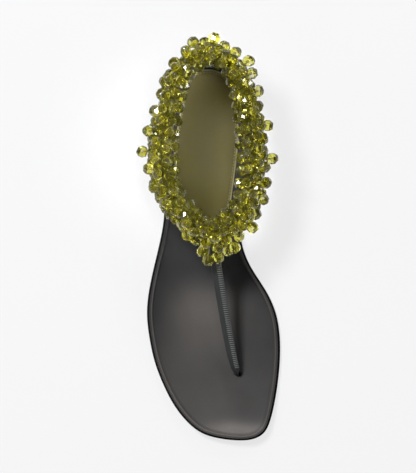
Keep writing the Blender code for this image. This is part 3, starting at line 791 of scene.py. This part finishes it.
def stitchTree():
    tree, given = newTree("stitchLine", [("Pitch", "Float"), ("Length", "Float"), ("Width", "Float"),
                                         ("Height", "Float"), ("Turn", "Float"), ("Thread", "Material")])
    line = addNode(tree, "GeometryNodeMeshToCurve", {}, {"Mesh": given["Geometry"]})
    spaced = addNode(tree, "GeometryNodeResampleCurve", {"mode": "LENGTH"},
                     {"Curve": line.outputs[0], "Length": given["Pitch"]})
    normal = addNode(tree, "GeometryNodeInputNamedAttribute", {"data_type": "FLOAT_VECTOR"},
                     {"Name": "faceUp"})
    tangent = addNode(tree, "GeometryNodeInputTangent")
    lie = addNode(tree, "FunctionNodeAxesToRotation", {"primary_axis": "Z", "secondary_axis": "X"},
                  {"Primary Axis": normal.outputs[0], "Secondary Axis": tangent.outputs[0]})
    slant = addNode(tree, "ShaderNodeCombineXYZ", {}, {"Z": given["Turn"]})
    slanted = addNode(tree, "FunctionNodeEulerToRotation", {}, {"Euler": slant.outputs[0]})
    turned = addNode(tree, "FunctionNodeRotateRotation", {"rotation_space": "LOCAL"},
                     {"Rotation": lie.outputs[0], "Rotate By": slanted.outputs[0]})
    size = addNode(tree, "ShaderNodeCombineXYZ", {},
                   {"X": given["Length"], "Y": given["Width"], "Z": given["Height"]})
    pillow = addNode(tree, "GeometryNodeMeshUVSphere", {}, {"Segments": 8, "Rings": 6, "Radius": 0.5})
    rounded = addNode(tree, "GeometryNodeSetShadeSmooth", {}, {"Geometry": pillow.outputs["Mesh"]})
    laid = addNode(tree, "GeometryNodeInstanceOnPoints", {},
                   {"Points": spaced.outputs[0], "Instance": rounded.outputs[0],
                    "Rotation": turned.outputs[0], "Scale": size.outputs[0]})
    endTree(tree, laid.outputs["Instances"], given["Thread"])
    return tree


def threadTree():
    tree, given = newTree("threadRuns", [("Radius", "Float"), ("Thread", "Material")])
    line = addNode(tree, "GeometryNodeMeshToCurve", {}, {"Mesh": given["Geometry"]})
    circle = addNode(tree, "GeometryNodeCurvePrimitiveCircle", {"mode": "RADIUS"},
                     {"Resolution": 6, "Radius": given["Radius"]})
    tube = addNode(tree, "GeometryNodeCurveToMesh", {},
                   {"Curve": line.outputs[0], "Profile Curve": circle.outputs[0], "Fill Caps": True})
    endTree(tree, tube.outputs[0], given["Thread"])
    return tree


def beadTree():
    tree, given = newTree("beadRope", [("Bead", "Object"), ("Seed", "Int"), ("Acrylic", "Material")])
    shape = addNode(tree, "GeometryNodeObjectInfo", {}, {"Object": given["Bead"]})
    turn = addNode(tree, "GeometryNodeInputNamedAttribute", {"data_type": "FLOAT_VECTOR"},
                   {"Name": "beadTurn"})
    size = addNode(tree, "GeometryNodeInputNamedAttribute", {"data_type": "FLOAT"}, {"Name": "beadSize"})
    spin = addNode(tree, "FunctionNodeEulerToRotation", {}, {"Euler": turn.outputs[0]})
    strung = addNode(tree, "GeometryNodeInstanceOnPoints", {},
                     {"Points": given["Geometry"], "Instance": shape.outputs["Geometry"],
                      "Rotation": spin.outputs[0], "Scale": size.outputs[0]})
    toned = randomTone(tree, strung.outputs[0], given["Seed"], "beadTone", "INSTANCE")
    real = addNode(tree, "GeometryNodeRealizeInstances", {}, {"Geometry": toned})
    # a random value per facet, for its painted reflection and glint
    cut = randomTone(tree, real.outputs[0], given["Seed"], "facetTone", "FACE")
    endTree(tree, cut, given["Acrylic"])
    return tree


stitches = stitchTree()


def threadMaterial(name, deep, light):
    # waxed polyester thread: a close twist, drawn about 0.6 mm apart so that it shows, with a dull shine
    made, tree = newMaterial(name)
    where = addNode(tree, "ShaderNodeTexCoord").outputs["Object"]
    twist = addNode(tree, "ShaderNodeTexWave", {"wave_type": "BANDS", "bands_direction": "DIAGONAL"},
                    {"Vector": where, "Scale": bandScale / (0.5 * mm), "Distortion": 0.4})
    colour = addNode(tree, "ShaderNodeMix", {"data_type": "RGBA"},
                     {0: twist.outputs["Fac"], 6: hexColour(deep), 7: hexColour(light)})
    bump = addNode(tree, "ShaderNodeBump", {},
                   {"Height": twist.outputs["Fac"], "Strength": 0.4, "Distance": 0.06 * mm})
    endMaterial(tree, {"Base Color": colour.outputs[2], "Normal": bump.outputs["Normal"], "Roughness": 0.5})
    return made


greyThread = threadMaterial("waxedGreyThread", "#555757", "#707272")
oliveThread = threadMaterial("waxedOliveThread", "#5f5930", "#857e4e")


def stitchPiece(name, points, ups, closed, look, spacing, material):
    # stitches along a line; look is length, width and height, spacing is pitch and turn
    edges = [(i, i + 1) for i in range(len(points) - 1)]
    if closed:
        edges.append((len(points) - 1, 0))
    length, width, height = look
    pitch, turn = spacing
    return growPiece(name, points, edges, {"faceUp": ("FLOAT_VECTOR", ups)}, stitches,
                     {"Pitch": pitch * mm, "Length": length * mm, "Width": width * mm, "Height": height * mm,
                      "Turn": math.radians(turn), "Thread": material})


def makeStrapRibs():
    # thread is whipped over the rolled edge, turn beside turn
    points, ups = [], []
    first, last = toeStrap["ribFrames"]
    lift = toeStrap["thickness"] * toeStrap["ribLift"] * mm
    for centre, side, over, half in toeStrapFrames()[first:last]:
        points.append(centre + side * (half * (1 - toeStrap["welt"]) * mm) + over * lift)
        ups.append((over + side * toeStrap["ribLean"]).normalized())
    return stitchPiece("toe_strap_ribs", points, ups, False, toeStrap["rib"],
                       (toeStrap["ribPitch"], toeStrap["ribTurn"]), greyThread)


strapRibs = makeStrapRibs()
wear(strapRibs, "strap_leather")


def makeSockStitches():
    points, ups = sockRing(sock["stitchInset"], heelSock, 0)
    return stitchPiece("heel_sock_stitches", points, ups, True, sock["stitch"],
                       (sock["stitchPitch"], 0.0), oliveThread)


sockStitches = makeSockStitches()
wear(sockStitches, "sock_leather")
print("stitches:", len(strapRibs.data.polygons) + len(sockStitches.data.polygons), "faces")


# Beads: faceted acrylic, sewn close over a dark elastic core that wraps the band

rope = {
    "seed": 7,
    "rows": [  # out, up, pitch, shift, diameter, wander (half of it outwards)
        (-3, 11.4, 7.7, 0, 7.2, 0.5), (4.2, 12.8, 7.9, 0.5, 7.4, 0.8), (8.6, 6.8, 8.1, 0.1, 7.4, 0.9),
        (9, -0.8, 8.2, 0.6, 7.4, 0.9), (7, -8.2, 8.4, 0.2, 7.2, 0.8),
        (0.8, 17.2, 9, 0.3, 6.8, 1), (6.4, 15.8, 9.5, 0.7, 6.6, 1.2),
    ],
    # along, and how far the outer rows stand out there
    "spread": [(0, 0.72), (20, 0.86), (50, 1.18), (90, 1.14), (108, 0.95)],
    "radius": 38,  # of the ring, for the longer way round of the outer rows
    "edgeBeads": [  # along, across, height over the band's middle line, read off the outline
        (-11, 4, 6), (-6, 10.5, 3), (-2, 17.5, 7), (3, 26, 3), (11, 28, 6),
        (22, 32, 3), (32, 31.5, 7), (44, 38, 3), (52, 34.5, 7), (65, 41, 4),
        (70, 36.5, -4), (80.5, 37, 6), (87.5, 34, 0), (93.5, 29, 8), (100.5, 30.5, 3),
        (109, 28.5, 5), (122, 17, 5), (128, 6.5, 2.5), (130, 0, 1.5), (124.5, -3.5, 3),
        (114, -13, 4), (106.5, -16.5, 8), (100.5, -24, 3), (88, -30.5, 6), (81, -34, 2),
        (71.5, -38, 6), (60.5, -42, 3), (47.5, -38, 5), (34.5, -34, 2), (24, -29.5, 6),
        (13.5, -25.5, 3), (4.5, -21.5, 7), (-3, -14, 3), (-8.5, -9.5, 6), (-8.5, -2.5, 2),
        (124, 12.5, 1), (122, 6, 6), (119.5, -1.5, 5), (117, -7.5, 3), (116, 3.5, 10),
        (117, 11.5, 5), (114.5, 20, 2), (112, -2.5, 11), (111.5, -9.5, 6), (110.5, 9, 10),
        (111, 16, 8), (107.5, 22.5, 4),
    ],
    "edgeSize": 7.6,
    "sizeShares": (0.95, 1.03),  # smallest and largest bead of a row
    "settle": 90,  # rounds of pushing touching beads apart
    "air": 0.06,  # gap kept between beads
    "push": 0.35,  # share of an overlap that one round clears
    "pull": 0.05,  # share of the way home that one round brings back
    "strapRadius": 3.4,  # room that the beads leave round the toe strap's line
    "strapSteps": 60,
    "frames": 720,
    "core": [  # out, up
        (1.15, -9.4), (1.15, 8.2), (-1.5, 8.4), (-1.7, 9), (2.6, 9.2), (4.8, 6), (4.8, -6), (3.4, -9.8),
    ],
    "coreRound": 1.2,
    "coreFrames": 160,
    "coreSpreads": 2,  # points of the core further out than this spread with the beads
    "threadRadius": 0.35,
    "threadFoot": (4, 0.6),  # out from the band, and share of the bead's height over it
}
# the pale tone is a painted glint on some facets
beadLook = {"deep": "#b8b004", "body": "#ebe764", "pale": "#fefdec", "roughness": 0.01, "ior": 1.49,
            "clear": 0.96}


def spreadAt(along):
    return float(np.interp(along, *zip(*rope["spread"])))


def beadPlaces():
    # centres and diameters of the beads; edge beads come last with the feet of their threads
    chance = np.random.default_rng(rope["seed"])
    frames = bandFrames(rope["frames"])
    steps = np.linalg.norm(np.roll(frames[:, :3], -1, axis=0) - frames[:, :3], axis=1)
    homes, sizes, feet = [], [], []
    for out, up, pitch, shift, size, wander in rope["rows"]:
        lengths = np.concatenate([[0.0], np.cumsum(steps) * (1 + out / rope["radius"])])
        count = int(round(lengths[-1] / pitch))
        for k in range(count):
            slip, outSlip, upSlip = chance.uniform(-1, 1, 3) * wander
            where = ((k + shift) * lengths[-1] / count + slip) % lengths[-1]
            at = frames[min(int(np.searchsorted(lengths, where, side="right")) - 1, len(frames) - 1)]
            spread = spreadAt(at[0]) if out > 0 else 1.0
            homes.append(bandPoint(at, (out + outSlip / 2) * spread, up + upSlip))
            sizes.append(size * chance.uniform(*rope["sizeShares"]))
    loose = len(homes)
    footOut, footUp = rope["threadFoot"]
    for along, across, up in rope["edgeBeads"]:
        at = min(frames, key=lambda f: math.hypot(f[0] - along, f[1] - across))
        homes.append((along, across, at[2] + up))
        sizes.append(rope["edgeSize"])
        feet.append(bandPoint(at, footOut * spreadAt(at[0]), up * footUp))
    homes, radii = np.array(homes), np.array(sizes) / 2
    strapLine = openSpline(toeStrap["points"], rope["strapSteps"])
    centres = np.vstack([homes, strapLine])
    radii = np.concatenate([radii, np.full(len(strapLine), rope["strapRadius"])])
    free = np.zeros(len(centres))
    free[:loose] = 1.0  # edge beads and the strap hold still
    for _ in range(rope["settle"]):
        apart = centres[:, None] - centres[None]
        away = np.linalg.norm(apart, axis=2) + np.eye(len(centres)) * 1000  # none pushes itself
        overlap = np.clip(radii[:, None] + radii[None] + rope["air"] - away, 0, None)
        push = (apart / away[..., None] * overlap[..., None]).sum(axis=1) * rope["push"]
        centres += push * free[:, None]
        centres[:len(homes)] += (homes - centres[:len(homes)]) * rope["pull"]
    return centres[:len(homes)], radii[:len(homes)] * 2, loose, feet


def beadMesh():
    # one faceted bead of unit diameter: two tables, two crowns of triangles and a girdle of flats
    sides = 8
    levels = [  # radius, height, twist
        (0.28, 0.455, 0.5), (0.485, 0.165, 0.0), (0.485, -0.165, 0.0), (0.28, -0.455, 0.5),
    ]
    bm = bmesh.new()
    rows = []
    for radius, height, twist in levels:
        angles = [(i + twist) * 2 * math.pi / sides for i in range(sides)]
        rows.append([bm.verts.new((radius * math.cos(a), radius * math.sin(a), height)) for a in angles])
    bm.faces.new(rows[0])
    bm.faces.new(rows[3])
    for i in range(sides):
        j = (i + 1) % sides
        bm.faces.new((rows[0][i], rows[1][i], rows[1][j]))
        bm.faces.new((rows[0][i], rows[1][j], rows[0][j]))
        bm.faces.new((rows[1][i], rows[2][i], rows[2][j], rows[1][j]))
        bm.faces.new((rows[3][i], rows[2][j], rows[2][i]))
        bm.faces.new((rows[3][i], rows[3][j], rows[2][j]))
    bmesh.ops.recalc_face_normals(bm, faces=bm.faces)
    return bpy.data.objects.new("facetedBead", takeMesh("facetedBead", bm))


def acrylicMaterial(look):
    # polished cast acrylic, tinted yellow-green: clear body, sharp glints, and on each facet a random tint
    # from deep to pale as painted reflection, the palest as painted glints
    made, tree = newMaterial("tintedAcrylic")
    # a random value per facet: deep to body tint as painted reflection, pale as painted glints
    facet = addNode(tree, "ShaderNodeAttribute", {"attribute_name": "facetTone"})
    whole = addNode(tree, "ShaderNodeAttribute", {"attribute_name": "beadTone"})
    depth = addNode(tree, "ShaderNodeMapRange", {"interpolation_type": "SMOOTHSTEP"},
                    {"Value": facet.outputs["Fac"], "From Min": 0.0, "From Max": 0.6})
    tint = addNode(tree, "ShaderNodeMix", {"data_type": "RGBA"},
                   {0: depth.outputs["Result"], 6: hexColour(look["deep"]), 7: hexColour(look["body"])})
    paintedGlint = addNode(tree, "ShaderNodeMapRange", {},
                    {"Value": facet.outputs["Fac"], "From Min": 0.72, "From Max": 0.95})
    pale = addNode(tree, "ShaderNodeMix", {"data_type": "RGBA"},
                   {0: paintedGlint.outputs["Result"], 6: tint.outputs[2], 7: hexColour(look["pale"])})
    shade = addNode(tree, "ShaderNodeMapRange", {},
                    {"Value": whole.outputs["Fac"], "To Min": 0.72, "To Max": 1.1})
    toned = addNode(tree, "ShaderNodeMix", {"data_type": "RGBA", "blend_type": "MULTIPLY"},
                    {0: 1.0, 6: pale.outputs[2], 7: shade.outputs["Result"]})
    endMaterial(tree, {
        "Base Color": toned.outputs[2],
        "Roughness": look["roughness"],
        "IOR": look["ior"],
        "Transmission Weight": look["clear"],
    })
    return made


def makeBeads():
    centres, sizes, loose, feet = beadPlaces()
    chance = np.random.default_rng(rope["seed"] + 1)
    turns = chance.uniform(0, 2 * math.pi, (len(centres), 3))
    bead = beadMesh()
    made = growPiece("beads", [place(*c) for c in centres], [],
                     {"beadTurn": ("FLOAT_VECTOR", turns), "beadSize": ("FLOAT", sizes * mm)}, beadTree(),
                     {"Bead": bead, "Seed": rope["seed"], "Acrylic": acrylicMaterial(beadLook)})
    bpy.data.objects.remove(bead)
    ends = [place(*p) for pair in zip(feet, centres[loose:]) for p in pair]
    threads = growPiece("bead_threads", ends, [(i, i + 1) for i in range(0, len(ends), 2)], {}, threadTree(),
                        {"Radius": rope["threadRadius"] * mm, "Thread": oliveThread})
    print("beads:", len(centres), "of", len(made.data.polygons) // len(centres), "facets")
    return made, threads


def coreMaterial():
    # knitted elastic: dark olive, darkened further as painted shade in the gaps between beads, dull, with
    # ribs about a millimetre apart
    made, tree = newMaterial("knittedElastic")
    where = addNode(tree, "ShaderNodeTexCoord").outputs["Object"]
    rib = addNode(tree, "ShaderNodeTexWave", {"wave_type": "BANDS", "bands_direction": "Z"},
                  {"Vector": where, "Scale": bandScale / mm, "Distortion": 1.5, "Detail": 2.0})
    colour = addNode(tree, "ShaderNodeMix", {"data_type": "RGBA"},
                     {0: rib.outputs["Fac"], 6: hexColour("#3f3b0e"), 7: hexColour("#57521a")})
    bump = addNode(tree, "ShaderNodeBump", {},
                   {"Height": rib.outputs["Fac"], "Strength": 0.6, "Distance": 0.2 * mm})
    endMaterial(tree, {"Base Color": colour.outputs[2], "Normal": bump.outputs["Normal"], "Roughness": 0.8})
    return made


def makeCore():
    section = roundedSection(rope["core"], rope["coreRound"])
    rings = []
    for at in bandFrames(rope["coreFrames"]):
        ring = []
        for out, up in section:
            if out > rope["coreSpreads"]:
                out *= spreadAt(at[0])
            ring.append(place(*bandPoint(at, out, up)))
        rings.append(ring)
    return skin("bead_core", rings, coreMaterial(), closedPath=True)


beads, beadThreads = makeBeads()
core = makeCore()
for piece in (beads, beadThreads, core):
    wear(piece, "bead_acrylic", "bead_collar")


# Floor, light and camera: seen from straight above, toe towards the bottom of the picture

studio = {
    "rows": 473,  # of pixels in the picture
    "pixel": 0.667,  # millimetres a pixel at the floor
    "cameraHeight": 1500,
    "sensor": 36,
    "farClip": 20,  # metres
    "aim": (114.8, 0),  # along, across
    "floor": ("#6a6a6c", "#ffffff", 0.735),  # a light table: its surface, its glow and the glow's strength
    "floorHalf": 4,  # metres
    "floorDrop": 0.02,  # keeps the floor's face off the sole's
    "sky": ("#ffffff", 0.15),
    # each lamp: where from (across, heelwards, up), size and watts, then a narrow beam's target and spread;
    # the front lamps shine slightly up at the front beads, so that what misses them doesn't meet the floor
    "lamps": {
        "key": ((-390, 450, 1200), 270, 16.5),
        "ankle": ((30, 58, 600), 70, 0.03, (-20, 60, 0), 14),
        "heel": ((300, 1000, 1000), 300, 2.5),
        "frontOuter": ((-420, -3, 22), 16, 0.018, (0, -3, 62), 4),
        "frontInner": ((420, -3, 22), 16, 0.018, (4, -3, 62), 4),
    },
    "wideBeam": ((0, 0, 0), 180),
    # small lamps in a circle for the beads' glints: how many, degrees apart, radius, heights, size, watts
    "glints": (13, 27.7, 1000, (700, 1200, 1700), 90, 0.45),
}


def addLamp(name, middle, source, size, watts, target, spread):
    lamp = bpy.data.lights.new(name, "AREA")
    lamp.shape = "DISK"
    lamp.size = size * mm
    lamp.energy = watts
    lamp.spread = math.radians(spread)
    made = linkObject(name, lamp)
    made.location = middle + Vector(source) * mm
    aim = middle + Vector(target) * mm
    made.rotation_euler = (aim - made.location).to_track_quat("-Z", "Y").to_euler()


def makeLight(middle):
    world = bpy.data.worlds.new("studioSky")
    bpy.context.scene.world = world
    world.use_nodes = True
    colour, strength = studio["sky"]
    background = world.node_tree.nodes["Background"]
    background.inputs["Color"].default_value = hexColour(colour)
    background.inputs["Strength"].default_value = strength
    for name, (source, size, watts, *beam) in studio["lamps"].items():
        addLamp(name, middle, source, size, watts, *(beam or studio["wideBeam"]))
    count, apart, radius, heights, size, watts = studio["glints"]
    for i in range(count):
        angle = math.radians(apart * i)
        source = (radius * math.cos(angle), radius * math.sin(angle), heights[i % len(heights)])
        addLamp(f"glint{i}", middle, source, size, watts, *studio["wideBeam"])


def makeFloor():
    bm = bmesh.new()
    bmesh.ops.create_grid(bm, x_segments=1, y_segments=1, size=studio["floorHalf"])
    mesh = takeMesh("floor", bm)
    floor = linkObject("floor", mesh)
    floor.location.z = -studio["floorDrop"] * mm
    # matt paper, lit from below: an even pale glow without a sheen
    paper, tree = newMaterial("palePaper")
    surface, glow, strength = studio["floor"]
    endMaterial(tree, {"Base Color": hexColour(surface), "Roughness": 0.9,
                       "Emission Color": hexColour(glow), "Emission Strength": strength})
    mesh.materials.append(paper)


def makeCamera(middle):
    lens = bpy.data.cameras.new("aboveCamera")
    lens.sensor_width = studio["sensor"]
    lens.lens = studio["sensor"] * studio["cameraHeight"] / (studio["pixel"] * studio["rows"])
    lens.clip_end = studio["farClip"]
    camera = linkObject("aboveCamera", lens)
    camera.location = middle + Vector((0, 0, studio["cameraHeight"] * mm))
    bpy.context.scene.camera = camera
    bpy.context.scene.view_settings.view_transform = "Standard"


studioMiddle = place(*studio["aim"], 0)
makeLight(studioMiddle)
makeFloor()
makeCamera(studioMiddle)
